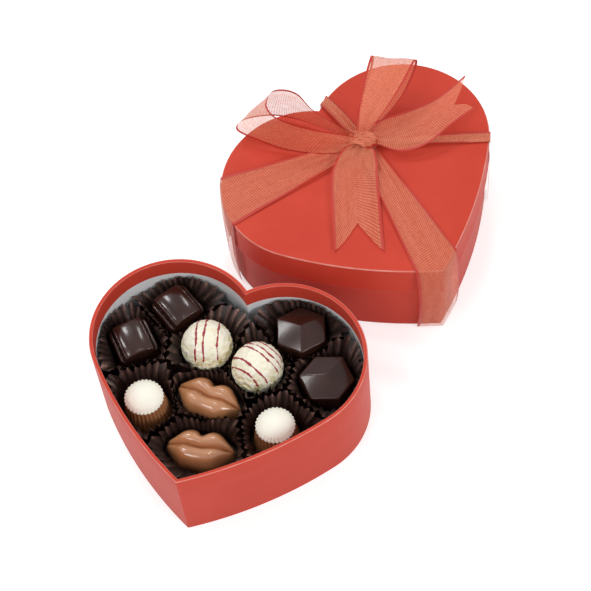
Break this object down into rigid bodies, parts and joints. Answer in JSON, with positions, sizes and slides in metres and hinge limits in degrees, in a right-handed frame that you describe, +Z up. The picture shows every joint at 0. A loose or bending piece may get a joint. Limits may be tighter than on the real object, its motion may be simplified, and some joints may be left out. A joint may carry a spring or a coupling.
{
  "type": "heart-shaped gift box",
  "caption": "Heart-shaped papered gift box, open, with chocolates in pleated paper cups, and its deep lid with a tied organza ribbon and bow.",
  "frame": {"origin": "on the underside of the base, midway between the two lobes' centres", "axes": "+Z up, +Y from the tip towards the notch, +X to the right lobe"},
  "size_m": [0.1791, 0.2839, 0.0913],
  "materials": {
    "greyboard": "pressed paper board",
    "red_paper": "satin red paper",
    "white_paper": "smooth white paper",
    "brown_pad": "dark brown padded paper",
    "cup_paper": "dark brown greaseproof paper",
    "dark_chocolate": "tempered dark chocolate",
    "milk_chocolate": "tempered milk chocolate",
    "white_chocolate": "ivory white chocolate",
    "red_icing": "dark red icing",
    "organza": "sheer red organza"
  },
  "bodies": {
    "base": {"base_wall": "greyboard", "base_floor": "greyboard", "base_wrap": "red_paper", "base_liner": "white_paper", "candy_pad": "brown_pad", "paper_cup_1": "cup_paper", "paper_cup_2": "cup_paper", "paper_cup_3": "cup_paper", "paper_cup_4": "cup_paper", "paper_cup_5": "cup_paper", "paper_cup_6": "cup_paper", "paper_cup_7": "cup_paper", "paper_cup_8": "cup_paper", "paper_cup_9": "cup_paper", "paper_cup_10": "cup_paper"},
    "sweet_square_1": {"square_1": "dark_chocolate"},
    "sweet_square_2": {"square_2": "dark_chocolate"},
    "sweet_truffle_1": {"truffle_1": "white_chocolate", "truffle_drizzle_1": "red_icing"},
    "sweet_truffle_2": {"truffle_2": "white_chocolate", "truffle_drizzle_2": "red_icing"},
    "sweet_facet_1": {"facet_1": "dark_chocolate"},
    "sweet_facet_2": {"facet_2": "dark_chocolate"},
    "sweet_lips_1": {"lips_1": "milk_chocolate"},
    "sweet_lips_2": {"lips_2": "milk_chocolate"},
    "sweet_praline_1": {"praline_1": "milk_chocolate", "praline_cap_1": "white_chocolate"},
    "sweet_praline_2": {"praline_2": "milk_chocolate", "praline_cap_2": "white_chocolate"},
    "lid": {"lid_sleeve": "greyboard", "lid_sleeve_wrap": "red_paper", "lid_cap": "greyboard", "lid_cap_wrap": "red_paper", "lid_lining": "white_paper", "ribbon_arm_tip": "organza", "ribbon_arm_notch": "organza", "ribbon_arm_left": "organza", "ribbon_arm_right": "organza", "bow_knot": "organza", "bow_loop_left": "organza", "bow_loop_upper": "organza", "ribbon_tail_front": "organza", "ribbon_tail_right": "organza"}
  },
  "joints": [
    {"name": "lift_square_1", "type": "slide", "parent": "base", "child": "sweet_square_1", "axis": [0, 0, 1], "range_m": [0, 0.05]},
    {"name": "lift_square_2", "type": "slide", "parent": "base", "child": "sweet_square_2", "axis": [0, 0, 1], "range_m": [0, 0.05]},
    {"name": "lift_truffle_1", "type": "slide", "parent": "base", "child": "sweet_truffle_1", "axis": [0, 0, 1], "range_m": [0, 0.05]},
    {"name": "lift_truffle_2", "type": "slide", "parent": "base", "child": "sweet_truffle_2", "axis": [0, 0, 1], "range_m": [0, 0.05]},
    {"name": "lift_facet_1", "type": "slide", "parent": "base", "child": "sweet_facet_1", "axis": [0, 0, 1], "range_m": [0, 0.05]},
    {"name": "lift_facet_2", "type": "slide", "parent": "base", "child": "sweet_facet_2", "axis": [0, 0, 1], "range_m": [0, 0.05]},
    {"name": "lift_lips_1", "type": "slide", "parent": "base", "child": "sweet_lips_1", "axis": [0, 0, 1], "range_m": [0, 0.05]},
    {"name": "lift_lips_2", "type": "slide", "parent": "base", "child": "sweet_lips_2", "axis": [0, 0, 1], "range_m": [0, 0.05]},
    {"name": "lift_praline_1", "type": "slide", "parent": "base", "child": "sweet_praline_1", "axis": [0, 0, 1], "range_m": [0, 0.05]},
    {"name": "lift_praline_2", "type": "slide", "parent": "base", "child": "sweet_praline_2", "axis": [0, 0, 1], "range_m": [0, 0.05]},
    {"name": "lift_lid", "type": "slide", "parent": "base", "child": "lid", "axis": [0, 0, 1], "range_m": [0, 0.12]}
  ]
}
